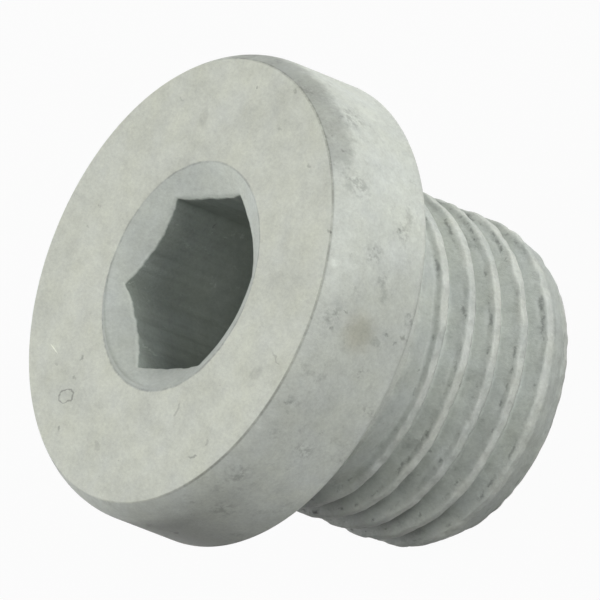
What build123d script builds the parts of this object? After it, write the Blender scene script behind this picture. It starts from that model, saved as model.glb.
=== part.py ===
from build123d import *
import math
import os

# Hex socket screw plug, M10 x 1, in one piece of zinc-plated steel.
# The plug stands on the end of its thread with the socket facing up.
# The origin is the centre of the end face, and +Z runs along the axis towards the head.
# All sizes are in millimetres.

# Whole plug
total_length = 11.0

# Head
head_diameter = 14.0
head_height = 3.3
rim_width = 0.37
rim_height = 0.94
underside_edge_radius = 0.15

# Neck: the part of the shank that the thread rolls leave at the blank's own size
neck_diameter = 9.32
neck_length = 2.0
neck_fillet = 0.3
shoulder_chamfer = 0.1

# Thread, right-handed
thread_diameter = 9.94
thread_pitch = 1.0
thread_depth = 0.583
flank_angle = 30.0
crest_width = 0.16
thread_start_angle = 80.3

# The groove leaves the shank at this distance below the shoulder, and goes on shallower
runout_length = 0.63
runout_radius = 9.0
runout_angle = 42.0
shallow_depth = 0.26

# End chamfer
end_chamfer_width = 0.64
end_chamfer_length = 0.92

# Hex socket
socket_across_flats = 5.1
socket_depth = 5.0
socket_point_angle = 120.0
countersink_diameter = 6.88
countersink_angle = 120.0

# How far cutting tools run past the surface that they open, and turns that they run past the thread
tool_overrun = 0.12
turn_overrun = 0.5

head_radius = head_diameter / 2
neck_radius = neck_diameter / 2
thread_radius = thread_diameter / 2
underside_height = total_length - head_height
shoulder_height = underside_height - neck_length
groove_end_height = shoulder_height - runout_length


def rim_arc_middle():
    """Middle point of the rim's arc, which meets the side of the head without an edge."""
    radius = (rim_width**2 + rim_height**2) / (2 * rim_width)
    centre_x = head_radius - radius
    centre_z = total_length - rim_height
    half_turn = math.asin(rim_height / radius) / 2
    return (centre_x + radius * math.cos(half_turn), centre_z + radius * math.sin(half_turn))


def blank_outline():
    """Half section of the plug without thread and socket, as a closed line in the XZ plane."""
    edge = underside_edge_radius
    axis_foot = (0, 0)
    end_face_edge = (thread_radius - end_chamfer_width, 0)
    thread_start = (thread_radius, end_chamfer_length)
    shoulder_crest = (thread_radius, shoulder_height - shoulder_chamfer)
    shoulder_foot = (neck_radius, shoulder_height + shoulder_chamfer)
    neck_top = (neck_radius, underside_height - neck_fillet)
    fillet_middle = (
        neck_radius + neck_fillet * (1 - math.cos(math.pi / 4)),
        underside_height - neck_fillet * (1 - math.sin(math.pi / 4)),
    )
    seat_inner = (neck_radius + neck_fillet, underside_height)
    seat_outer = (head_radius - edge, underside_height)
    edge_middle = (
        head_radius - edge * (1 - math.sin(math.pi / 4)),
        underside_height + edge * (1 - math.cos(math.pi / 4)),
    )
    side_bottom = (head_radius, underside_height + edge)
    side_top = (head_radius, total_length - rim_height)
    face_edge = (head_radius - rim_width, total_length)
    axis_top = (0, total_length)
    lower = Polyline(axis_foot, end_face_edge, thread_start, shoulder_crest, shoulder_foot, neck_top)
    fillet_arc = ThreePointArc(neck_top, fillet_middle, seat_inner)
    seat = Line(seat_inner, seat_outer)
    edge_arc = ThreePointArc(seat_outer, edge_middle, side_bottom)
    side = Line(side_bottom, side_top)
    rim_arc = ThreePointArc(side_top, rim_arc_middle(), face_edge)
    upper = Polyline(face_edge, axis_top, axis_foot)
    return Plane.XZ * make_face(lower + fillet_arc + seat + edge_arc + side + rim_arc + upper)


def groove_section(depth):
    """Section of the thread groove, down to the given depth, on the +X side of the axis."""
    slope = math.tan(math.radians(flank_angle))
    crest_half = (thread_pitch - crest_width) / 2
    root_half = crest_half - depth * slope
    outer_half = crest_half + tool_overrun * slope
    root_x = thread_radius - depth
    outer_x = thread_radius + tool_overrun
    points = [
        (root_x, -root_half),
        (outer_x, -outer_half),
        (outer_x, outer_half),
        (root_x, root_half),
    ]
    return Plane.XZ * make_face(Polyline(*points, close=True))


def turn_to_thread(tool, height):
    """Place a tool made on the +X side where the thread is at the given height."""
    turns = (height + thread_pitch) / thread_pitch
    return Pos(0, 0, height) * Rot(0, 0, thread_start_angle + 360 * turns) * tool


def one_turn(depth, start_height):
    """Cutting tool that follows the thread for one turn."""
    path = Helix(pitch=thread_pitch, height=thread_pitch, radius=thread_radius - depth)
    tool = sweep(groove_section(depth), path=path, is_frenet=True)
    return turn_to_thread(tool, start_height)


def groove_runout():
    """Cutting tool that lifts out of the shank at the end of the full-depth groove."""
    root_radius = thread_radius - thread_depth
    lift_axis = Axis((root_radius - runout_radius, 0, 0), (0, 0, 1))
    tool = revolve(groove_section(thread_depth), axis=lift_axis, revolution_arc=runout_angle)
    return turn_to_thread(tool, groove_end_height)


def cut_thread(blank):
    """Cut the thread into the shank, turn by turn from the neck down past the end face."""
    threaded = blank - groove_runout()
    shallow_turns = math.ceil(runout_length / thread_pitch + turn_overrun)
    for turn in range(shallow_turns):
        threaded -= one_turn(shallow_depth, groove_end_height + turn * thread_pitch)
    full_turns = math.ceil(groove_end_height / thread_pitch + turn_overrun)
    for turn in range(full_turns):
        threaded -= one_turn(thread_depth, groove_end_height - (turn + 1) * thread_pitch)
    return threaded


def hex_socket():
    """Hex socket with a drilled point below it and a countersink at its mouth."""
    hexagon = RegularPolygon(radius=socket_across_flats / 2, side_count=6, major_radius=False)
    hex_hole = extrude(Pos(0, 0, total_length - socket_depth) * hexagon, amount=socket_depth)
    point_radius = socket_across_flats / 2
    point_length = point_radius / math.tan(math.radians(socket_point_angle / 2))
    point = Pos(0, 0, total_length - socket_depth - point_length / 2) * Cone(
        bottom_radius=0, top_radius=point_radius, height=point_length
    )
    mouth_radius = countersink_diameter / 2
    mouth_length = mouth_radius / math.tan(math.radians(countersink_angle / 2))
    mouth = Pos(0, 0, total_length - mouth_length / 2) * Cone(
        bottom_radius=0, top_radius=mouth_radius, height=mouth_length
    )
    return hex_hole + point + mouth


def plug_body():
    """The plug, as one solid."""
    blank = revolve(blank_outline(), axis=Axis.Z)
    return cut_thread(blank) - hex_socket()


os.makedirs("parts", exist_ok=True)
export_step(plug_body(), "parts/plug_body.step")
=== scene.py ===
"""Looks of the hex socket plug: its finished surface, zinc plating, floor, lamps and camera.

The plug stands on the end of its thread with the socket facing up. All sizes below are in
millimetres and become metres when the mesh is made, so every piece lies in the frame as packed.
"""

import logging
import math
from dataclasses import dataclass
from enum import Enum

import bpy
import numpy as np
from mathutils import Matrix, Vector, noise


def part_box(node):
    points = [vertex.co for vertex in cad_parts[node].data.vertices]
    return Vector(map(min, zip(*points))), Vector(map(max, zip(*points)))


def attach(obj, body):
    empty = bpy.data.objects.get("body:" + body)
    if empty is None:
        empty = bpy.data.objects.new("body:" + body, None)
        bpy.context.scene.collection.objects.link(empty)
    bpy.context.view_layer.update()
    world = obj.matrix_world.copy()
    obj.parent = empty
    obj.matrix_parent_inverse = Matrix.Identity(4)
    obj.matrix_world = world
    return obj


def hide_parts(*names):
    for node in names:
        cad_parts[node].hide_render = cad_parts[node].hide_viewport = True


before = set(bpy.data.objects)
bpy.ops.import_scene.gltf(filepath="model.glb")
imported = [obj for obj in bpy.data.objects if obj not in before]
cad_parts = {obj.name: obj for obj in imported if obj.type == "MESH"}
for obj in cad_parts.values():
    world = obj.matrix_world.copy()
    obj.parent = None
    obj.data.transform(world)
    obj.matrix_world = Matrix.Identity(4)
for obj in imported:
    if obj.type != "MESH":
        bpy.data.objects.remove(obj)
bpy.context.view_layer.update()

MM = 0.001
LOG = logging.getLogger("hex_socket_plug")

Point = tuple[float, float]
Colour = tuple[float, float, float]
Socket = bpy.types.NodeSocket
Sockets = dict[str, Socket]
Layer = tuple[Socket, float]


class Fineness(Enum):
    """How finely the plug is divided: columns round the axis and ring spacing on the thread."""

    DRAFT = (120, 0.06)
    FINISHED = (270, 0.025)

    @property
    def columns(self) -> int:
        """Number of columns round the axis, a multiple of six so that the hexagon has its corners."""
        return self.value[0]

    @property
    def thread_step(self) -> float:
        """Spacing of the rings on the thread, in millimetres."""
        return self.value[1]


@dataclass(frozen=True)
class Corner:
    """A corner of a half section.

    Attributes:
        radius: Distance from the axis.
        height: Height above the end face.
        rounding: Length of each side that the rounding of this corner takes up.
        step: Greatest spacing of the points on the run that follows.
    """

    radius: float
    height: float
    rounding: float = 0.0
    step: float = 0.35


def blend_points(a: Point, b: Point, share: float) -> Point:
    """Point on the line from a to b at that share of its length."""
    return (a[0] + (b[0] - a[0]) * share, a[1] + (b[1] - a[1]) * share)


def rounded_line(corners: list[Corner], arc_steps: int = 4) -> list[Point]:
    """Draw a line through corners, with its corners rounded and its long runs divided.

    Args:
        corners: The corners in order.
        arc_steps: Number of segments in each rounded corner.

    Returns:
        The points of the line, as radius and height.
    """
    places = [(corner.radius, corner.height) for corner in corners]
    line: list[Point] = [places[0]]
    step = corners[0].step
    for before, corner, after, spec in zip(places, places[1:], places[2:] + [None], corners[1:]):
        bend = [corner]
        if after is not None and spec.rounding > 0:
            start = blend_points(corner, before, spec.rounding / math.dist(corner, before))
            end = blend_points(corner, after, spec.rounding / math.dist(corner, after))
            shares = [i / arc_steps for i in range(arc_steps + 1)]
            bend = [
                blend_points(blend_points(start, corner, s), blend_points(corner, end, s), s)
                for s in shares
            ]
        run_start = line[-1]
        pieces = max(1, math.ceil(math.dist(run_start, bend[0]) / step))
        line += [blend_points(run_start, bend[0], (i + 1) / pieces) for i in range(pieces)]
        line += bend[1:]
        step = spec.step
    return line


def soft_min(a: np.ndarray, b: np.ndarray, softness: float) -> np.ndarray:
    """Smaller of two values, with a rounded change from one to the other."""
    share = np.clip(0.5 + 0.5 * (b - a) / softness, 0, 1)
    return b + (a - b) * share - softness * share * (1 - share)


def soft_max(a: np.ndarray, b: np.ndarray, softness: float) -> np.ndarray:
    """Larger of two values, with a rounded change from one to the other."""
    return -soft_min(-a, -b, softness)


def smooth_step(value: np.ndarray, start: float, end: float) -> np.ndarray:
    """Zero before start, one after end, and a smooth rise between them."""
    share = np.clip((value - start) / (end - start), 0, 1)
    return share * share * (3 - 2 * share)


@dataclass
class TurnedPlug:
    """The plug's one piece: head, hex socket, neck and rolled thread.

    All sizes are in millimetres.
    """

    total_length: float
    head_radius: float
    fineness: Fineness
    head_height: float = 3.3
    rim_width: float = 0.37
    rim_height: float = 0.94
    edge_softness: float = 0.025
    mouth_softness: float = 0.08
    underside_rounding: float = 0.16
    neck_radius: float = 4.66
    neck_length: float = 2.0
    neck_fillet: float = 0.3
    thread_radius: float = 4.97
    thread_pitch: float = 1.0
    thread_depth: float = 0.583
    thread_phase: float = 0.7776
    flank_angle: float = 30.0
    crest_width: float = 0.2
    shallow_depth: float = 0.26
    runout_start: float = 4.95
    runout_end: float = 5.2
    first_full_turn: float = 1.3
    thread_end: float = 0.6
    crest_softness: float = 0.1
    end_face_radius: float = 4.43
    end_chamfer_length: float = 0.9
    across_flats: float = 5.1
    socket_depth: float = 5.0
    point_length: float = 1.45
    countersink_radius: float = 3.44
    countersink_slope: float = 0.577
    wall_softness: float = 0.05
    countersink_centre: Point = (0.115, 0.032)
    socket_centre: Point = (0.063, 0.017)
    face_fade: float = 1.5
    mouth_wander: float = 0.04
    crest_wander: float = 0.05
    sway_depth: float = 0.06
    nick_depth: float = 0.035
    lap_depth: float = 0.05
    lap_place: float = 0.2
    lap_width: float = 0.05

    @property
    def corner_radius(self) -> float:
        """Distance of the hexagon's corners from the axis."""
        return self.across_flats / math.sqrt(3)

    @property
    def corner_height(self) -> float:
        """Height at which the hexagon's corners meet the countersink."""
        return self.total_length - (self.countersink_radius - self.corner_radius) * self.countersink_slope

    @property
    def socket_floor(self) -> float:
        """Height of the socket's floor."""
        return self.total_length - self.socket_depth

    @property
    def underside(self) -> float:
        """Height of the sealing face."""
        return self.total_length - self.head_height

    @property
    def shoulder(self) -> float:
        """Height at which the neck meets the thread."""
        return self.underside - self.neck_length

    def rim_corners(self, steps: int = 8) -> list[Corner]:
        """Corners of the head's rounded rim, from the face's edge to the side."""
        radius = (self.rim_width**2 + self.rim_height**2) / (2 * self.rim_width)
        centre = (self.head_radius - radius, self.total_length - self.rim_height)
        turn = math.asin(self.rim_height / radius)
        corners = []
        for i in range(steps + 1):
            angle = turn * (1 - i / steps)
            place = (centre[0] + radius * math.cos(angle), centre[1] + radius * math.sin(angle))
            corners.append(Corner(*place, rounding=self.edge_softness if i == 0 else 0))
        return corners

    def half_section(self) -> list[Point]:
        """Outline of the blank, from the point of the socket round to the middle of the end face."""
        top, point_radius = self.total_length, self.across_flats / 2 - self.wall_softness
        wall, mouth = self.corner_radius, self.mouth_softness
        fine = self.fineness.thread_step
        socket = [
            Corner(0, self.socket_floor - self.point_length),
            Corner(point_radius, self.socket_floor, self.wall_softness),
            Corner(wall, self.socket_floor, self.wall_softness),
            Corner(wall, self.corner_height, mouth, 0.1),
            Corner(self.countersink_radius, top, self.edge_softness),
        ]
        shank = [
            Corner(self.head_radius, self.underside, self.underside_rounding),
            Corner(self.neck_radius, self.underside, self.neck_fillet, 0.15),
            Corner(self.neck_radius, self.shoulder + 0.15, 0.1, fine),
            Corner(self.thread_radius, self.shoulder - 0.1, 0.1, fine),
            Corner(self.thread_radius, self.end_chamfer_length, 0.35, fine),
            Corner(self.end_face_radius, 0, 0.12),
            Corner(0, 0),
        ]
        return rounded_line(socket + self.rim_corners() + shank)

    def turn_blank(self) -> bpy.types.Object:
        """Draw the half section as a chain of edges and spin it round the axis."""
        points = [Vector((radius, 0, height)) * MM for radius, height in self.half_section()]
        bpy.ops.object.select_all(action="DESELECT")
        bpy.ops.mesh.primitive_plane_add(size=MM, location=points[0])
        blank = bpy.context.object
        bpy.ops.object.mode_set(mode="EDIT")
        bpy.ops.mesh.select_all(action="SELECT")
        bpy.ops.mesh.merge(type="CENTER")
        for start, end in zip(points, points[1:]):
            bpy.ops.mesh.extrude_vertices_move(TRANSFORM_OT_translate={"value": end - start})
        bpy.ops.mesh.select_all(action="SELECT")
        bpy.ops.mesh.spin(
            steps=self.fineness.columns, angle=math.tau, center=(0, 0, 0), axis=(0, 0, 1)
        )
        bpy.ops.mesh.select_all(action="SELECT")
        bpy.ops.mesh.remove_doubles(threshold=MM / 1000)
        bpy.ops.mesh.normals_make_consistent(inside=False)
        bpy.ops.object.mode_set(mode="OBJECT")
        bpy.ops.object.transform_apply(location=True, rotation=True, scale=True)
        return blank

    def press_socket(self, radius: np.ndarray, angle: np.ndarray, height: np.ndarray) -> np.ndarray:
        """Press the round hole of the blank into a hexagon, with its edge on the countersink.

        Args:
            radius: Distance of each vertex from the axis.
            angle: Angle of each vertex about the axis.
            height: Height of each vertex, changed in place.

        Returns:
            The places of the vertices across the axis, one row for each vertex.
        """
        direction = np.stack([np.cos(angle), np.sin(angle)], axis=1)
        across = radius[:, None] * direction
        sixth, flat = math.tau / 6, self.across_flats / 2
        wide, corner = self.countersink_radius, self.corner_radius
        floor, edge, top = self.socket_floor, self.corner_height, self.total_length
        margin, just_over, nearly = 0.05, 1e-6, 1e-3
        hexagon = (flat / np.cos((angle % sixth) - sixth / 2))[:, None] * direction + self.socket_centre
        hexagon += self.mouth_unevenness(hexagon)[:, None] * direction
        circle = wide * direction + self.countersink_centre
        gap = wide - np.linalg.norm(hexagon - self.countersink_centre, axis=1)
        edge_height = top - gap * self.countersink_slope
        in_bore = (radius < wide + margin) & (height > floor - self.point_length - margin)
        on_cone = in_bore & (radius > corner + just_over) & (height > floor + 10 * margin)
        on_wall = in_bore & ~on_cone & (radius < corner + nearly)
        share = np.clip((radius - corner) / (wide - corner), 0, None)
        pressed_cone = hexagon + (circle - hexagon) * share[:, None]
        cone_height = edge_height + (top - edge_height) * (height - edge) / (top - edge)
        point_radius = flat - self.wall_softness
        outer = np.clip((radius - point_radius) / (corner - point_radius), 0, 1)
        inner = np.clip(radius / point_radius, 0, 1)[:, None] * np.array(self.socket_centre)
        round_part = np.minimum(radius, point_radius)[:, None] * direction + inner
        pressed_wall = round_part + (hexagon - round_part) * outer[:, None]
        rise = np.clip((height - floor) / (edge - floor), 0, None)
        wall_height = np.where(height > floor, floor + rise * (edge_height - floor), height)
        height[on_cone] = np.minimum(cone_height, top)[on_cone]
        height[on_wall] = wall_height[on_wall]
        across[on_cone] = pressed_cone[on_cone]
        across[on_wall] = pressed_wall[on_wall]
        on_face = (radius >= wide) & (radius < self.head_radius - 2 * self.rim_width)
        on_face &= height > top - 10 * nearly
        fade = 1 - smooth_step(radius, wide, wide + self.face_fade)
        return across + np.where(on_face, fade, 0)[:, None] * self.countersink_centre

    def mouth_unevenness(self, places: np.ndarray) -> np.ndarray:
        """How far the hexagon's edge wanders in or out at each place, from the punch and the plating."""
        fine = [noise.noise(Vector((x * 2.6, y * 2.6, 0))) for x, y in places]
        ragged = [noise.noise(Vector((x * 7.5, y * 7.5, 3))) for x, y in places]
        return self.mouth_wander * (np.array(fine) + 0.6 * np.array(ragged))

    def thread_places(self, angle: np.ndarray, height: np.ndarray) -> list[Vector]:
        """Places on the thread's outer cylinder at those angles and heights."""
        across, along = self.thread_radius * np.cos(angle), self.thread_radius * np.sin(angle)
        return [Vector(place) for place in zip(across, along, height)]

    def crest_sway(self, angle: np.ndarray, height: np.ndarray) -> np.ndarray:
        """How far up or down the rolling has pushed the thread at each vertex."""
        places = self.thread_places(angle, height)
        sway = [noise.noise(place * 0.8) + 0.5 * noise.noise(place * 2.6) for place in places]
        return self.sway_depth * np.array(sway)

    def crest_wear(self, angle: np.ndarray, crest_height: np.ndarray) -> tuple[np.ndarray, np.ndarray]:
        """How worn and how folded over the nearest crest is at each vertex, from 0 to 1.

        Args:
            angle: Angle of each vertex about the axis.
            crest_height: Height of the crest nearest to each vertex.

        Returns:
            The wear of the crest and the depth of the fold beside it.
        """
        places = self.thread_places(angle, crest_height)
        worn = np.array([noise.noise(place * 1.3) + 0.5 * noise.noise(place * 3.1) for place in places])
        folded = np.array([noise.noise(place * 1.1 + Vector((7, 3, 5))) for place in places])
        return np.clip(0.5 + 0.6 * worn, 0, 1), smooth_step(folded, -0.15, 0.2)

    def crest_nicks(self, angle: np.ndarray, height: np.ndarray) -> np.ndarray:
        """How deep the small dents of the crests are at each vertex, from 0 to 1."""
        places = self.thread_places(angle, height)
        dents = [noise.noise(place * 2.4 + Vector((2, 9, 4))) for place in places]
        return smooth_step(np.array(dents), -0.1, 0.45)

    def roll_thread(self, radius: np.ndarray, angle: np.ndarray, height: np.ndarray) -> None:
        """Roll the helical groove into the shank.

        Args:
            radius: Distance of each vertex from the axis, changed in place.
            angle: Angle of each vertex about the axis.
            height: Height of each vertex.
        """
        pitch, slope = self.thread_pitch, math.tan(math.radians(self.flank_angle))
        lead = height - pitch * angle / math.tau - self.thread_phase + self.crest_sway(angle, height)
        offset = ((lead / pitch + 0.5) % 1 - 0.5) * pitch
        groove_height = height - offset
        root = self.thread_radius - self.thread_depth
        root_half = (pitch - self.crest_width) / 2 - self.thread_depth * slope
        fade = smooth_step(groove_height, self.runout_start, self.runout_end)
        floor = root + (self.thread_depth - self.shallow_depth) * fade
        faded_out = smooth_step(groove_height, self.first_full_turn, self.thread_end)
        floor = floor + (radius - floor) * faded_out
        flank = root + (np.abs(offset) - root_half) / slope
        above_crest = offset - np.where(offset > 0, pitch / 2, -pitch / 2)
        worn, folded = self.crest_wear(angle, height - above_crest)
        fold = np.exp(-(((above_crest - self.lap_place) / self.lap_width) ** 2))
        flank = flank - self.lap_depth * folded * fold
        crest = radius - self.crest_wander * worn - self.nick_depth * self.crest_nicks(angle, height)
        rolled = soft_min(soft_max(flank, floor, self.crest_softness), crest, self.crest_softness)
        inside_shank = self.end_face_radius * 0.97
        on_shank = (height < self.shoulder + 0.2) & (radius > inside_shank)
        near_end = smooth_step(radius, inside_shank, self.end_face_radius)
        radius[:] = np.where(on_shank, radius + (rolled - radius) * near_end, radius)

    def build(self) -> bpy.types.Object:
        """Make the finished mesh of the plug, in metres."""
        plug = self.turn_blank()
        plug.name = plug.data.name = "hex_socket_plug"
        places = np.zeros(len(plug.data.vertices) * 3)
        plug.data.vertices.foreach_get("co", places)
        places = places.reshape(-1, 3) / MM
        radius = np.hypot(places[:, 0], places[:, 1])
        angle = np.arctan2(places[:, 1], places[:, 0])
        height = places[:, 2].copy()
        self.roll_thread(radius, angle, height)
        across = self.press_socket(radius, angle, height)
        placed = np.column_stack([across, height]) * MM
        plug.data.vertices.foreach_set("co", placed.ravel())
        plug.data.update()
        bpy.ops.object.shade_smooth_by_angle(angle=math.radians(50))
        return plug


FLOAT, VECTOR = "NodeSocketFloat", "NodeSocketVector"


class Wiring:
    """Adds shader nodes to one tree and links them."""

    def __init__(self, tree: bpy.types.NodeTree) -> None:
        """Work on the given tree."""
        self.tree = tree

    def node(
        self, kind: str, values: dict[str | int, object] | None = None, **settings: object
    ) -> bpy.types.Node:
        """Add a node.

        Args:
            kind: The node's type.
            values: Values or sockets for its inputs, by name or number.
            settings: The node's own settings.

        Returns:
            The new node.
        """
        made = self.tree.nodes.new(kind)
        for name, setting in settings.items():
            setattr(made, name, setting)
        self.feed_all(made, values or {})
        return made

    def feed(self, socket: Socket, value: object) -> None:
        """Link a socket to an input, or write a plain value there."""
        if isinstance(value, Socket):
            self.tree.links.new(value, socket)
        else:
            socket.default_value = value

    def feed_all(self, node: bpy.types.Node, values: dict[str | int, object]) -> None:
        """Feed several inputs of a node, by name or number."""
        for name, value in values.items():
            self.feed(node.inputs[name], value)

    def math(self, operation: str, a: object, b: object = 0.0) -> Socket:
        """Result of a math node on one or two values."""
        return self.node("ShaderNodeMath", {0: a, 1: b}, operation=operation).outputs["Value"]

    def vector(self, operation: str, a: object, b: object, result: str = "Vector") -> Socket:
        """Result of a vector math node on two vectors."""
        made = self.node("ShaderNodeVectorMath", {0: a, 1: b}, operation=operation)
        return made.outputs[result]

    def rise(self, value: object, start: float, end: float) -> Socket:
        """Zero at start and one at end, with a smooth rise between, in either direction."""
        low, high = min(start, end), max(start, end)
        to_min, to_max = (0.0, 1.0) if start < end else (1.0, 0.0)
        values = {"Value": value, "From Min": low, "From Max": high, "To Min": to_min, "To Max": to_max}
        made = self.node("ShaderNodeMapRange", values, interpolation_type="SMOOTHSTEP")
        return made.outputs["Result"]

    def band(self, value: object, middle: float, half: float, blur: float) -> Socket:
        """One within half of the middle, falling to zero over the blur."""
        away = self.math("ABSOLUTE", self.math("SUBTRACT", value, middle))
        return self.rise(away, half + blur, half)

    def all_of(self, *masks: object) -> Socket:
        """Product of masks."""
        product = masks[0]
        for mask in masks[1:]:
            product = self.math("MULTIPLY", product, mask)
        return product

    def more(self, total: object, mask: object, share: float) -> Socket:
        """The total with that share of the mask added."""
        return self.math("ADD", total, self.math("MULTIPLY", mask, share))

    def inverse(self, mask: object) -> Socket:
        """One where the mask is zero and zero where it is one."""
        return self.math("SUBTRACT", 1.0, mask)

    def centred(self, value: object, swing: float, middle: float = 0.5) -> Socket:
        """The value's difference from its middle, scaled to that swing."""
        return self.math("MULTIPLY", self.math("SUBTRACT", value, middle), swing)

    def group(self, tree: bpy.types.NodeTree, place: object) -> Sockets:
        """Outputs by name of a node group that is given the place."""
        made = self.node("ShaderNodeGroup", node_tree=tree)
        self.feed(made.inputs["Place"], place)
        return {socket.name: socket for socket in made.outputs}

    def noise(self, place: object, scale: float, detail: float = 3.0, rough: float = 0.5) -> Socket:
        """Soft noise at so many cells per millimetre."""
        values = {"Vector": place, "Scale": scale, "Detail": detail, "Roughness": rough}
        return self.node("ShaderNodeTexNoise", values).outputs["Fac"]

    def tint(self, share: object, below: object, above: object, blend: str = "MIX") -> Socket:
        """Colour between two, by share."""
        made = self.node("ShaderNodeMix", data_type="RGBA", blend_type=blend, clamp_factor=True)
        for name, value in (("Factor", share), ("A", below), ("B", above)):
            if isinstance(value, tuple):
                value = (*value, 1.0)
            kind = "VALUE" if name == "Factor" else "RGBA"
            socket = next(s for s in made.inputs if s.name == name and s.type == kind)
            self.feed(socket, value)
        return next(s for s in made.outputs if s.type == "RGBA")


def new_group(
    name: str, inputs: dict[str, str], outputs: dict[str, str]
) -> tuple[Wiring, Sockets, bpy.types.Node]:
    """Start a shader node group.

    Args:
        name: Name of the group.
        inputs: Kind of socket for each input.
        outputs: Kind of socket for each output.

    Returns:
        The wiring of its tree, its input sockets by name, and its output node.
    """
    tree = bpy.data.node_groups.new(name, "ShaderNodeTree")
    for socket, kind in inputs.items():
        tree.interface.new_socket(socket, in_out="INPUT", socket_type=kind)
    for socket, kind in outputs.items():
        tree.interface.new_socket(socket, in_out="OUTPUT", socket_type=kind)
    start = tree.nodes.new("NodeGroupInput")
    return Wiring(tree), {name: start.outputs[name] for name in inputs}, tree.nodes.new("NodeGroupOutput")


@dataclass(frozen=True)
class Mark:
    """A small mark on the head's face.

    Attributes:
        x: Place across the face in millimetres.
        y: Place across the face in millimetres.
        length: Half its length in millimetres.
        width: Half its width in millimetres.
        turn: Direction of its length, in degrees from +X.
        depth: How dark it is, or how light where it is negative.
        ring: Whether only its outline shows.
    """

    x: float
    y: float
    length: float
    width: float
    turn: float = 0.0
    depth: float = 0.3
    ring: bool = False

    def mask(self, wiring: Wiring, place: object) -> Socket:
        """One on the mark and zero elsewhere."""
        turned = wiring.node(
            "ShaderNodeMapping",
            {
                "Vector": place,
                "Location": (self.x, self.y, 0),
                "Rotation": (0, 0, math.radians(self.turn)),
                "Scale": (self.length, self.width, 1),
            },
            vector_type="TEXTURE",
        )
        flat = wiring.vector("MULTIPLY", turned.outputs["Vector"], (1, 1, 0))
        reach = wiring.vector("LENGTH", flat, (0, 0, 0), "Value")
        if self.ring:
            return wiring.band(reach, 0.9, 0.05, 0.12)
        return wiring.rise(reach, 1.1, 0.6)


@dataclass(frozen=True)
class SideSpot:
    """A spot on the head's side.

    Attributes:
        angle: Its angle about the axis, in degrees from +X.
        height: Its height in millimetres.
        size: Distance from its middle at which it ends, in millimetres.
        depth: How dark it is, or how light where it is negative.
    """

    angle: float
    height: float
    size: float
    depth: float = 0.3

    def mask(self, wiring: Wiring, place: object, head_radius: float) -> Socket:
        """One in the middle of the spot and zero away from it."""
        turn = math.radians(self.angle)
        middle = (head_radius * math.cos(turn), head_radius * math.sin(turn), self.height)
        distance = wiring.vector("DISTANCE", place, middle, "Value")
        return wiring.rise(distance, self.size, self.size * 0.2)


@dataclass(frozen=True)
class WearAndShade:
    """How much each kind of wear, and each painted shade, darkens the plating, or lightens it where it is
    negative.

    Attributes:
        pits: Pits.
        flecks: Small flecks.
        fold: Painted shade, a dark line in the fold beside a crest.
        forging_scale: Scale that the die has left on one side of the rim.
        rim: Slight shade all round the rim.
        low_side_shade: Painted shade that darkens the head's low side.
        cone_shade: Painted shade, darker on one side of the countersink and lighter on the other.
        edge_line: Painted shade, a dark line along one side of the face's outer edge.
        mouth_line: Line round the countersink.
        lip: Edge between the countersink and the walls.
        scores: Scores that the punch has left in the walls.
        thin_film: Thin smudges on the sides and the thread.
        wiped_film: How much less of them lies on the face and in the socket.
    """

    pits: float = 0.26
    flecks: float = 0.18
    fold: float = 0.38
    forging_scale: float = 0.34
    rim: float = 0.05
    low_side_shade: float = 0.52
    cone_shade: float = 0.14
    edge_line: float = 0.42
    mouth_line: float = 0.22
    lip: float = -0.14
    scores: float = -0.5
    thin_film: float = 0.20
    wiped_film: float = 0.15


@dataclass(frozen=True)
class Canvas:
    """What every part of the plating's finish is drawn from.

    Attributes:
        wiring: Wiring of the material.
        place: Place on the plug in millimetres.
        bent: The same place, pushed about a little so that edges wander.
        where: Outputs of the group of places.
        zinc: Outputs of the group of mottle.
        rough: Coarse noise that breaks up edges.
    """

    wiring: Wiring
    place: Socket
    bent: Socket
    where: Sockets
    zinc: Sockets
    rough: Socket


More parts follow.
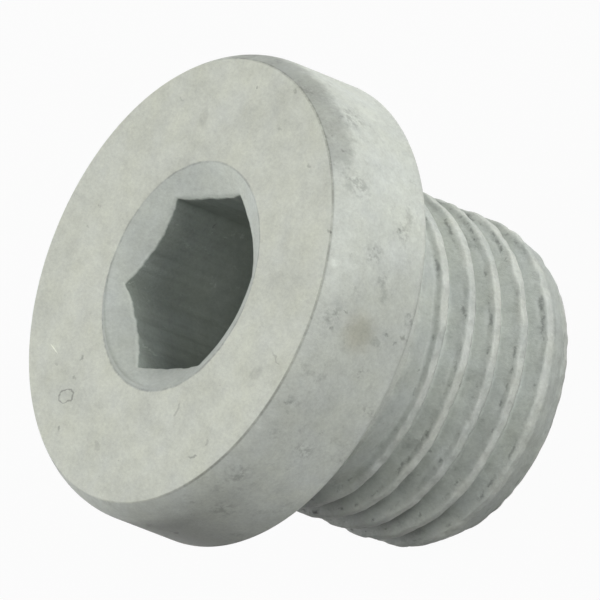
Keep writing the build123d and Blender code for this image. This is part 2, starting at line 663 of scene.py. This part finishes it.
@dataclass(frozen=True)
class ZincPlating:
    """Matt zinc plating on cold-forged steel.

    Attributes:
        plug: The plug that it covers, whose sizes place the finish.
        face: Colour of the pressed face.
        side: Colour of the turned sides.
        cone: Colour of the countersink.
        socket: Colour of the socket's walls near the mouth, a painted shade that darkens the recess.
        deep_wall_shade: Colour of the same walls further down, a lighter painted shade.
        crest: Colour of the thread's crests, lighter than the flanks: a painted highlight.
        flank: Colour of the thread's flanks.
        stain: Colour of the brown stain on the head's side.
        roughness: Mean roughness.
        metallic: Share of the look that is bare metal.
        specular: Strength of the highlights.
        grain_angle: Direction in which the mottle is drawn out, in degrees from +X.
        grain_stretch: How much longer the mottle is in that direction.
        stain_spot: Where the stain lies and how strong it is.
        bright_nick: Where the rim is knocked bright.
        smudges: Dark smudges on the head's side and rim.
        dull_areas: Wide areas of the head's side that are darker or lighter.
        marks: Small marks on the face.
        wear: How strong the rest of the wear and the painted shade are.
    """

    plug: TurnedPlug
    face: Colour = (0.62, 0.642, 0.57)
    side: Colour = (0.56, 0.588, 0.54)
    cone: Colour = (0.52, 0.552, 0.513)
    socket: Colour = (0.275, 0.305, 0.28)
    deep_wall_shade: Colour = (0.40, 0.435, 0.40)
    crest: Colour = (0.575, 0.60, 0.555)
    flank: Colour = (0.475, 0.506, 0.47)
    stain: Colour = (0.36, 0.345, 0.265)
    roughness: float = 0.5
    metallic: float = 0.04
    specular: float = 0.08
    grain_angle: float = -74.75
    grain_stretch: float = 1.5
    stain_spot: SideSpot = SideSpot(-70.8, 9.5, 0.85, 0.48)
    bright_nick: SideSpot = SideSpot(-57.1, 10.98, 0.34, -0.6)
    smudges: tuple[SideSpot, ...] = (
        SideSpot(-92.5, 10.55, 0.442), SideSpot(-87.5, 8.07, 0.338), SideSpot(-63.2, 7.8, 0.39),
        SideSpot(-68.6, 10.5, 0.416), SideSpot(-115.0, 10.4, 0.546), SideSpot(-36.0, 10.3, 0.585),
        SideSpot(-52.0, 9.6, 0.468), SideSpot(-102.0, 9.2, 0.52), SideSpot(-14.5, 9.9, 0.715),
        SideSpot(-79.0, 8.9, 0.286), SideSpot(-128.0, 9.6, 0.65), SideSpot(-44.0, 8.6, 0.39),
    )
    dull_areas: tuple[SideSpot, ...] = (
        SideSpot(-67, 9.1, 2.4, 0.10),
        SideSpot(-112, 9.0, 2.8, -0.13),
        SideSpot(8, 8.8, 2.6, -0.10),
    )
    marks: tuple[Mark, ...] = (
        Mark(-4.96, 1.86, 0.35, 0.21, -62, 0.40, True),
        Mark(-4.24, 3.50, 0.32, 0.022, 86, -0.35),
        Mark(-2.75, -3.10, 0.26, 0.07, 20, 0.20),
        Mark(-3.34, -4.87, 0.24, 0.05, -62, 0.34),
        Mark(-2.73, -5.11, 0.10, 0.07, 60, 0.22),
        Mark(-0.22, -5.41, 0.34, 0.22, -50, 0.13),
        Mark(0.52, -5.90, 0.30, 0.04, 75, 0.22),
        Mark(-5.76, 1.37, 0.10, 0.06, 40, 0.34),
        Mark(-5.25, -0.67, 0.26, 0.12, 70, 0.14),
        Mark(3.96, 2.96, 0.32, 0.20, 30, 0.10),
        Mark(5.75, 1.5, 0.07, 0.05, 0, 0.40),
    )
    wear: WearAndShade = WearAndShade()

    def places_group(self) -> bpy.types.NodeTree:
        """Group that tells where a point of the plug is."""
        plug = self.plug
        wiring, given, out = new_group(
            "plug_places",
            {"Place": VECTOR},
            {name: FLOAT for name in ("Radius", "Height", "Turn", "Thread", "Mouth", "Depth")},
        )
        place = given["Place"]
        parts = wiring.node("ShaderNodeSeparateXYZ", {0: place})
        x, y, z = parts.outputs["X"], parts.outputs["Y"], parts.outputs["Z"]
        flat = wiring.node("ShaderNodeCombineXYZ", {"X": x, "Y": y}).outputs["Vector"]
        radius = wiring.vector("LENGTH", flat, (0, 0, 0), "Value")
        turn = wiring.math("DIVIDE", wiring.math("ARCTAN2", y, x), math.tau)
        lead = wiring.math("SUBTRACT", wiring.math("DIVIDE", z, plug.thread_pitch), turn)
        thread = wiring.math("FRACT", wiring.math("SUBTRACT", lead, plug.thread_phase))
        centre = (*plug.countersink_centre, 0)
        mouth = wiring.vector("LENGTH", wiring.vector("SUBTRACT", flat, centre), (0, 0, 0), "Value")
        cone_point = plug.total_length - plug.countersink_radius * plug.countersink_slope
        cone_height = wiring.more(cone_point, mouth, plug.countersink_slope)
        depth = wiring.math("SUBTRACT", cone_height, z)
        wiring.feed_all(out, {"Radius": radius, "Height": z, "Turn": turn})
        wiring.feed_all(out, {"Thread": thread, "Mouth": mouth, "Depth": depth})
        return wiring.tree

    def mottle_group(self) -> bpy.types.NodeTree:
        """Group for the plating's blotches, grain and pits."""
        wiring, given, out = new_group(
            "zinc_mottle",
            {"Place": VECTOR},
            {name: FLOAT for name in ("Blotches", "Patches", "Grain", "Smudges", "Pits", "Flecks")}
            | {"Shift": VECTOR},
        )
        place = given["Place"]
        push = wiring.node("ShaderNodeTexNoise", {"Vector": place, "Scale": 5.0}).outputs["Color"]
        bent = wiring.vector("ADD", place, wiring.vector("MULTIPLY", push, (0.3, 0.3, 0.3)))
        bent = wiring.vector("SUBTRACT", bent, (0.15, 0.15, 0.15))
        textures = {
            "Blotches": wiring.noise(place, 0.55, 4.0, 0.55),
            "Patches": wiring.noise(place, 2.4, 5.0, 0.65),
            "Grain": wiring.noise(place, 11.0, 4.0, 0.75),
            "Smudges": wiring.rise(wiring.noise(place, 1.35, 6.0, 0.7), 0.56, 0.70),
            "Shift": wiring.vector("SUBTRACT", bent, place),
        }
        for name, scale, near, rare in (("Pits", 1.5, 0.13, 0.72), ("Flecks", 3.1, 0.10, 0.80)):
            cells = wiring.node("ShaderNodeTexVoronoi", {"Vector": bent, "Scale": scale})
            pick = wiring.node("ShaderNodeSeparateColor", {0: cells.outputs["Color"]})
            size = wiring.rise(cells.outputs["Distance"], near, near * 0.4)
            kept = wiring.rise(pick.outputs["Red"], rare, rare + 0.15)
            textures[name] = wiring.all_of(size, kept)
        wiring.feed_all(out, textures)
        return wiring.tree

    def canvas(self, wiring: Wiring) -> Canvas:
        """Add the nodes that every part of the finish is drawn from."""
        coordinates = wiring.node("ShaderNodeTexCoord").outputs["Object"]
        place = wiring.vector("MULTIPLY", coordinates, (1 / MM, 1 / MM, 1 / MM))
        drawn_out = {
            "Vector": place,
            "Rotation": (0, 0, math.radians(self.grain_angle)),
            "Scale": (self.grain_stretch, 1, 1),
        }
        stretched = wiring.node("ShaderNodeMapping", drawn_out, vector_type="TEXTURE")
        zinc = wiring.group(self.mottle_group(), stretched.outputs["Vector"])
        return Canvas(
            wiring=wiring,
            place=place,
            bent=wiring.vector("ADD", place, zinc["Shift"]),
            where=wiring.group(self.places_group(), place),
            zinc=zinc,
            rough=wiring.noise(place, 1.7, 6.0, 0.8),
        )

    def facing(self, canvas: Canvas, angle: float) -> Socket:
        """How squarely each point of the plug lies in a direction from its axis.

        Args:
            canvas: What the finish is drawn from.
            angle: The direction, in degrees from +X.

        Returns:
            The cosine of the angle between the two.
        """
        turn, wiring = math.radians(angle), canvas.wiring
        direction = (math.cos(turn), math.sin(turn), 0)
        along = wiring.vector("DOT_PRODUCT", canvas.place, direction, "Value")
        return wiring.math("DIVIDE", along, canvas.where["Radius"])

    def areas(self, canvas: Canvas) -> Sockets:
        """Masks that tell which finish lies where, by name."""
        plug, wiring, where = self.plug, canvas.wiring, canvas.where
        patches, height, mouth = canvas.zinc["Patches"], where["Height"], where["Mouth"]
        wide, top = plug.countersink_radius, plug.total_length
        on_top = wiring.rise(height, top - 0.06, top - 0.015)
        face = wiring.all_of(on_top, wiring.rise(mouth, wide - 0.03, wide))
        in_mouth = wiring.rise(mouth, wide + 0.03, wide)
        uneven_depth = wiring.more(where["Depth"], patches, 0.05)
        on_thread = wiring.rise(height, plug.shoulder + 0.2, plug.shoulder - 0.1)
        wavy_thread = wiring.math("ADD", where["Thread"], wiring.centred(patches, 0.16))
        # Patches in which the painted highlight of the crests shows.
        crest_highlight_patches = wiring.rise(wiring.noise(canvas.place, 0.9, 4.0, 0.6), 0.30, 0.62)
        broken = wiring.rise(wiring.noise(canvas.bent, 1.9, 4.0, 0.6), 0.52, 0.62)
        return {
            "top": on_top,
            "below_top": wiring.inverse(on_top),
            "face": face,
            "off_face": wiring.inverse(face),
            "rim": wiring.rise(where["Radius"], 5.8, 6.2),
            "head": wiring.rise(height, plug.underside - 0.02, plug.underside + 0.05),
            "neck": wiring.band(height, plug.underside - 0.95, 0.8, 0.2),
            "mouth": in_mouth,
            "cone": wiring.all_of(in_mouth, wiring.rise(height, 10.2, 10.3)),
            "wall": wiring.all_of(in_mouth, wiring.rise(uneven_depth, 0.07, 0.12)),
            "thread": on_thread,
            # Painted highlight: the crest mask lightens a band along each crest, broken up in patches.
            "crest": wiring.all_of(on_thread, wiring.band(wavy_thread, 0.5, 0.07, 0.16), crest_highlight_patches),
            # Painted shade: the fold mask darkens the crease beside each crest.
            "fold": wiring.all_of(on_thread, wiring.band(wavy_thread, 0.69, 0.0, 0.045), broken),
        }

    def colours(self, canvas: Canvas, areas: Sockets) -> Socket:
        """Colour of each finish in its place, before any wear, with painted shade in the socket's walls
        and a painted highlight on the crests.
        """
        wiring = canvas.wiring
        thread = wiring.tint(areas["crest"], self.flank, self.crest)
        colour = wiring.tint(areas["head"], thread, self.side)
        colour = wiring.tint(areas["neck"], colour, self.side)
        colour = wiring.tint(areas["face"], colour, self.face)
        colour = wiring.tint(areas["cone"], colour, self.cone)
        # Painted shade: the socket's walls get darker colours than the rest of the plating.
        deep = wiring.rise(canvas.where["Depth"], 0.4, 3.6)
        walls = wiring.tint(deep, self.socket, self.deep_wall_shade)
        colour = wiring.tint(areas["wall"], colour, walls)
        spot = self.stain_spot.mask(wiring, canvas.bent, self.plug.head_radius)
        stained = wiring.all_of(spot, areas["off_face"], self.stain_spot.depth)
        return wiring.tint(stained, colour, self.stain)

    def smudging(self, canvas: Canvas, areas: Sockets) -> Socket:
        """How much smudges darken the plating, as a thin film and in spots."""
        wiring, wear = canvas.wiring, self.wear
        specks = wiring.rise(wiring.noise(canvas.place, 4.5, 5.0, 0.7), 0.44, 0.60)
        wiped = wiring.math("MAXIMUM", areas["face"], areas["mouth"])
        film = wiring.more(wear.thin_film, wiped, -wear.wiped_film)
        total = wiring.all_of(canvas.zinc["Smudges"], film)
        for smudge in self.smudges:
            spot = smudge.mask(wiring, canvas.bent, self.plug.head_radius)
            shown = wiring.all_of(spot, areas["below_top"], specks)
            total = wiring.more(total, shown, smudge.depth)
        return total

    def rim_wear(self, canvas: Canvas, areas: Sockets) -> list[Layer]:
        """The rim, left rough and dark on one side by the forging die."""
        wiring, where, patches = canvas.wiring, canvas.where, canvas.zinc["Patches"]
        on_rim = wiring.all_of(areas["below_top"], areas["rim"])
        scaled_side = wiring.band(wiring.more(where["Turn"], patches, 0.05), 0.03, 0.075, 0.05)
        uneven_height = wiring.more(where["Height"], patches, 0.5)
        reach = wiring.all_of(scaled_side, wiring.rise(uneven_height, 10.0, 10.95))
        ragged = wiring.math("ADD", reach, wiring.centred(canvas.rough, 1.7))
        scale = wiring.all_of(wiring.rise(ragged, 0.25, 1.05), scaled_side, on_rim)
        shade = wiring.all_of(wiring.rise(where["Height"], 10.2, 10.6), on_rim)
        return [(scale, self.wear.forging_scale), (shade, self.wear.rim)]

    def side_wear_and_shade(self, canvas: Canvas, areas: Sockets) -> list[Layer]:
        """Painted shade on the head's low side, its dull areas and the bright nick."""
        wiring, where, radius = canvas.wiring, canvas.where, self.plug.head_radius
        wide = self.plug.countersink_radius
        outside = wiring.all_of(wiring.rise(where["Mouth"], wide + 0.1, wide + 0.9), areas["off_face"])
        # Painted shade: the plating is made darker on the head's low side, where the light falls least.
        low_side = wiring.rise(self.facing(canvas, -160), 0.86, 1.0)
        shaded_low_side = wiring.all_of(low_side, outside, wiring.rise(where["Height"], 10.5, 9.7))
        layers = [(shaded_low_side, self.wear.low_side_shade)]
        for area in self.dull_areas:
            dull = wiring.all_of(area.mask(wiring, canvas.place, radius), areas["below_top"])
            layers.append((dull, area.depth))
        nick = self.bright_nick.mask(wiring, canvas.bent, radius)
        return layers + [(nick, self.bright_nick.depth)]

    def face_wear_and_shade(self, canvas: Canvas, areas: Sockets) -> list[Layer]:
        """The marks on the face and the lines along its two edges, of which the outer one is painted
        shade on one side.
        """
        plug, wiring, where = self.plug, canvas.wiring, canvas.where
        layers = []
        for mark in self.marks:
            place = canvas.bent if mark.depth > 0 else canvas.place
            layers.append((wiring.all_of(mark.mask(wiring, place), areas["face"]), mark.depth))
        turned = wiring.math("ABSOLUTE", wiring.math("ADD", where["Turn"], 0.14))
        # Painted shade: a dark line along one side of the face's outer edge.
        edge_line = wiring.all_of(
            wiring.band(where["Radius"], plug.head_radius - plug.rim_width + 0.02, 0.008, 0.034),
            areas["head"],
            wiring.rise(turned, 0.28, 0.20),
            wiring.more(0.55, wiring.rise(canvas.rough, 0.40, 0.60), 0.5),
        )
        wavy_mouth = wiring.more(where["Mouth"], canvas.zinc["Patches"], 0.10)
        mouth_line = wiring.all_of(
            wiring.band(wavy_mouth, plug.countersink_radius + 0.05, 0.012, 0.04),
            areas["top"],
            wiring.math("ADD", 0.3, wiring.rise(canvas.rough, 0.42, 0.58)),
        )
        return layers + [(edge_line, self.wear.edge_line), (mouth_line, self.wear.mouth_line)]

    def socket_wear_and_shade(self, canvas: Canvas, areas: Sockets) -> list[Layer]:
        """The countersink's painted shade, its bright lip and the scores in the walls."""
        wiring = canvas.wiring
        bevel = wiring.all_of(areas["cone"], wiring.inverse(areas["wall"]), areas["off_face"])
        # Painted shade: the countersink is darker on the side facing 208 degrees and lighter on the
        # other.
        shade = wiring.all_of(self.facing(canvas, 208), bevel)
        lip = wiring.all_of(areas["mouth"], wiring.band(canvas.where["Depth"], 0.06, 0.03, 0.03))
        upright = wiring.vector("MULTIPLY", canvas.bent, (1, 1, 0.3))
        scores = wiring.rise(wiring.noise(upright, 4.5, 5.0, 0.75), 0.58, 0.74)
        scored = wiring.all_of(areas["wall"], scores)
        return [(shade, self.wear.cone_shade), (lip, self.wear.lip), (scored, self.wear.scores)]

    def tone(self, canvas: Canvas, areas: Sockets) -> Socket:
        """Brightness of the plating, which is its mottle less all its wear and painted shade."""
        wiring, zinc = canvas.wiring, canvas.zinc
        mottle = 1.0
        for name, swing in (("Blotches", 0.34), ("Patches", 0.40), ("Grain", 0.46)):
            mottle = wiring.math("ADD", mottle, wiring.centred(zinc[name], swing))
        layers = [
            (zinc["Pits"], self.wear.pits),
            (zinc["Flecks"], self.wear.flecks),
            (areas["fold"], self.wear.fold),
        ]
        layers += self.rim_wear(canvas, areas) + self.side_wear_and_shade(canvas, areas)
        layers += self.face_wear_and_shade(canvas, areas) + self.socket_wear_and_shade(canvas, areas)
        dark = self.smudging(canvas, areas)
        for mask, depth in layers:
            dark = wiring.more(dark, mask, depth)
        return wiring.math("MULTIPLY", mottle, wiring.inverse(dark))

    def greys(self, canvas: Canvas, tone: Socket) -> Socket:
        """Grey of that brightness, a little warmer or cooler from place to place."""
        wiring = canvas.wiring
        warmth = wiring.centred(wiring.noise(canvas.place, 0.8, 3.0, 0.6), 0.11, middle=0.46)
        red = wiring.math("MULTIPLY", tone, wiring.more(1.0, warmth, 0.1))
        blue = wiring.math("MULTIPLY", tone, wiring.inverse(warmth))
        channels = {"Red": red, "Green": tone, "Blue": blue}
        return wiring.node("ShaderNodeCombineColor", channels).outputs["Color"]

    def relief(self, canvas: Canvas, areas: Sockets) -> Socket:
        """Height of the plating's fine relief."""
        wiring, zinc = canvas.wiring, canvas.zinc
        on_crests = wiring.band(canvas.where["Thread"], 0.5, 0.1, 0.2)
        lumps = wiring.all_of(areas["thread"], on_crests, wiring.noise(canvas.place, 3.4, 3.0, 0.6))
        relief = wiring.math("MULTIPLY", zinc["Grain"], 0.4)
        for layer, height in ((zinc["Patches"], 0.25), (lumps, 1.6), (zinc["Pits"], -0.4)):
            relief = wiring.more(relief, layer, height)
        return relief

    def material(self) -> bpy.types.Material:
        """Build the plating's material."""
        material = bpy.data.materials.new("zinc_plating")
        material.use_nodes = True
        shader = material.node_tree.nodes["Principled BSDF"]
        shader.inputs["Metallic"].default_value = self.metallic
        shader.inputs["Specular IOR Level"].default_value = self.specular
        wiring = Wiring(material.node_tree)
        canvas = self.canvas(wiring)
        areas = self.areas(canvas)
        grey = self.greys(canvas, self.tone(canvas, areas))
        colour = wiring.tint(1.0, self.colours(canvas, areas), grey, "MULTIPLY")
        wiring.feed(shader.inputs["Base Color"], colour)
        patchy = wiring.math("ADD", self.roughness, wiring.centred(canvas.zinc["Patches"], 0.22))
        wiring.feed(shader.inputs["Roughness"], patchy)
        heights = {"Height": self.relief(canvas, areas), "Distance": 0.03 * MM, "Strength": 1.0}
        bump = wiring.node("ShaderNodeBump", heights)
        wiring.feed(shader.inputs["Normal"], bump.outputs["Normal"])
        return material


def direction(azimuth: float, elevation: float) -> Vector:
    """Unit vector at those angles in degrees, from +X and from the horizon."""
    turn, rise = math.radians(azimuth), math.radians(elevation)
    flat = math.cos(rise)
    return Vector((math.cos(turn) * flat, math.sin(turn) * flat, math.sin(rise)))


@dataclass(frozen=True)
class Lamp:
    """A soft lamp that faces the plug.

    Attributes:
        name: Name of the lamp.
        azimuth: Direction in which it stands, in degrees from +X.
        elevation: Its height above the horizon, in degrees.
        distance: Distance from the plug in metres.
        width: Its width in metres.
        height: Its height in metres.
        power: Power in watts.
    """

    name: str
    azimuth: float
    elevation: float
    distance: float
    width: float
    height: float
    power: float

    def place(self, target: Vector) -> bpy.types.Object:
        """Add the lamp, turned to the target."""
        away = direction(self.azimuth, self.elevation)
        data = bpy.data.lights.new(self.name, "AREA")
        data.shape = "RECTANGLE"
        data.size = self.width
        data.size_y = self.height
        data.energy = self.power
        lamp = bpy.data.objects.new(self.name, data)
        bpy.context.scene.collection.objects.link(lamp)
        lamp.location = target + away * self.distance
        lamp.rotation_euler = away.to_track_quat("Z", "Y").to_euler()
        return lamp


@dataclass
class Studio:
    """Floor, lamps, surroundings and camera."""

    floor_side: float = 3.0
    floor_colour: float = 0.25
    floor_glow: float = 0.96
    ambient: float = 0.02
    camera_azimuth: float = -74.749
    camera_elevation: float = 35.782
    camera_roll: float = -68.348
    camera_distance: float = 0.503216
    camera_target: tuple[float, float, float] = (0.558, 0.781, 6.342)
    lens: float = 1050.56
    lamps: tuple[Lamp, ...] = (
        Lamp("left_softbox", 156.1, 62.9, 0.5, 0.35, 0.35, 0.76),
        Lamp("back_softbox", 126.5, 24.4, 0.5, 0.35, 0.35, 1.30),
        Lamp("top_softbox", 51.5, 61.9, 0.5, 0.35, 0.35, 0.12),
        Lamp("front_softbox", -64.6, 38.5, 0.5, 0.35, 0.35, 0.82),
        Lamp("low_softbox", -42.0, 9.0, 0.5, 0.3, 0.15, 1.18),
        Lamp("side_softbox", 17.2, 5.0, 0.5, 0.3, 0.08, 1.15),
    )

    @staticmethod
    def background_rays(wiring: Wiring) -> Socket:
        """One where the camera, a reflection or a refraction sees the background."""
        path = wiring.node("ShaderNodeLightPath").outputs
        seen = wiring.math("MAXIMUM", path["Is Camera Ray"], path["Is Glossy Ray"])
        return wiring.math("MAXIMUM", seen, path["Is Transmission Ray"])

    def lay_floor(self) -> bpy.types.Object:
        """Lay the pale floor under the plug."""
        bpy.ops.object.select_all(action="DESELECT")
        bpy.ops.mesh.primitive_plane_add(size=self.floor_side, location=(0, 0, 0))
        floor = bpy.context.object
        floor.name = "floor"
        material = bpy.data.materials.new("pale_floor")
        material.use_nodes = True
        nodes = material.node_tree.nodes
        paint = nodes["Principled BSDF"]
        paint.inputs["Base Color"].default_value = (*[self.floor_colour] * 3, 1)
        paint.inputs["Roughness"].default_value = 0.9
        wiring = Wiring(material.node_tree)
        shown = wiring.math("MULTIPLY", self.background_rays(wiring), self.floor_glow)
        glow = wiring.node("ShaderNodeEmission").outputs["Emission"]
        mixed = wiring.node("ShaderNodeMixShader", {0: shown, 1: paint.outputs["BSDF"], 2: glow})
        wiring.feed(nodes["Material Output"].inputs["Surface"], mixed.outputs["Shader"])
        floor.data.materials.append(material)
        return floor

    def surround(self) -> None:
        """Give the scene a white background and a plain ambient light."""
        world = bpy.data.worlds.new("studio")
        bpy.context.scene.world = world
        world.use_nodes = True
        wiring = Wiring(world.node_tree)
        values = {"Value": self.background_rays(wiring), "To Min": self.ambient, "To Max": 1.0}
        strength = wiring.node("ShaderNodeMapRange", values).outputs["Result"]
        background = world.node_tree.nodes["Background"]
        wiring.feed_all(background, {"Color": (1, 1, 1, 1), "Strength": strength})

    def place_camera(self) -> bpy.types.Object:
        """Set up the camera, rolled so that the plug lies on its side in the picture."""
        back = direction(self.camera_azimuth, self.camera_elevation)
        data = bpy.data.cameras.new("camera")
        data.sensor_width = 36
        data.lens = self.lens
        data.clip_start = 0.05
        data.clip_end = 10
        camera = bpy.data.objects.new("camera", data)
        bpy.context.scene.collection.objects.link(camera)
        upright = back.to_track_quat("Z", "Y").to_matrix().to_4x4()
        roll = Matrix.Rotation(math.radians(self.camera_roll), 4, "Z")
        target = Vector(self.camera_target) * MM
        camera.matrix_world = Matrix.Translation(target + back * self.camera_distance) @ upright @ roll
        bpy.context.scene.camera = camera
        return camera

    def build(self, target: Vector) -> None:
        """Set up the whole studio round the plug."""
        self.lay_floor()
        self.surround()
        for lamp in self.lamps:
            lamp.place(target)
            LOG.info("lamp %s", lamp.name)
        self.place_camera()


def main() -> None:
    """Build the plug and the studio."""
    logging.basicConfig(level=logging.INFO, format="%(name)s: %(message)s")
    low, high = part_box("plug_body")
    fineness = Fineness.FINISHED
    plug = TurnedPlug(
        total_length=(high.z - low.z) / MM,
        head_radius=(high.x - low.x) / 2 / MM,
        fineness=fineness,
    )
    body = plug.build()
    body.data.materials.append(ZincPlating(plug).material())
    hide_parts("plug_body")
    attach(body, "root")
    LOG.info("%s: %d faces", body.name, len(body.data.polygons))
    Studio().build((low + high) / 2)
    bpy.context.scene.view_settings.view_transform = "Standard"


if __name__ == "__main__":
    main()
